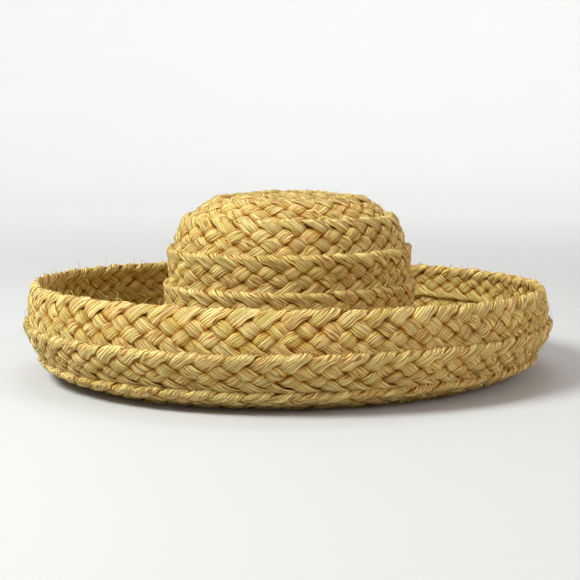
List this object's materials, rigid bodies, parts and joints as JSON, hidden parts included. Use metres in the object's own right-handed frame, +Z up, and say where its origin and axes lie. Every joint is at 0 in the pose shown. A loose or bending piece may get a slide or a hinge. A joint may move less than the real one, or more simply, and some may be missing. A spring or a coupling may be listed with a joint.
{
  "type": "kettle brim hat",
  "caption": "Wide straw hat of thick flat raffia plait sewn row to row, with a round crown and a brim that falls away from the head opening and rolls up and in all the way round",
  "frame": {"origin": "on the surface that the hat stands on, under the middle of its plan", "axes": "+Z up out of the crown, -Y towards the wearer's front, +X towards the wearer's left"},
  "size_m": [0.3818, 0.4018, 0.1341],
  "materials": {
    "crown_straw": "natural raffia fibre, plaited, matt with a faint dry sheen",
    "brim_straw": "natural raffia fibre, plaited, matt with a faint dry sheen"
  },
  "bodies": {
    "root": {"crown_tip": "crown_straw", "crown_row_1": "crown_straw", "crown_row_2": "crown_straw", "crown_row_3": "crown_straw", "crown_row_4": "crown_straw", "crown_row_5": "crown_straw", "brim_row_1": "brim_straw", "brim_row_2": "brim_straw", "brim_row_3": "brim_straw", "brim_row_4": "brim_straw", "brim_row_5": "brim_straw", "brim_row_6": "brim_straw"}
  },
  "joints": []
}
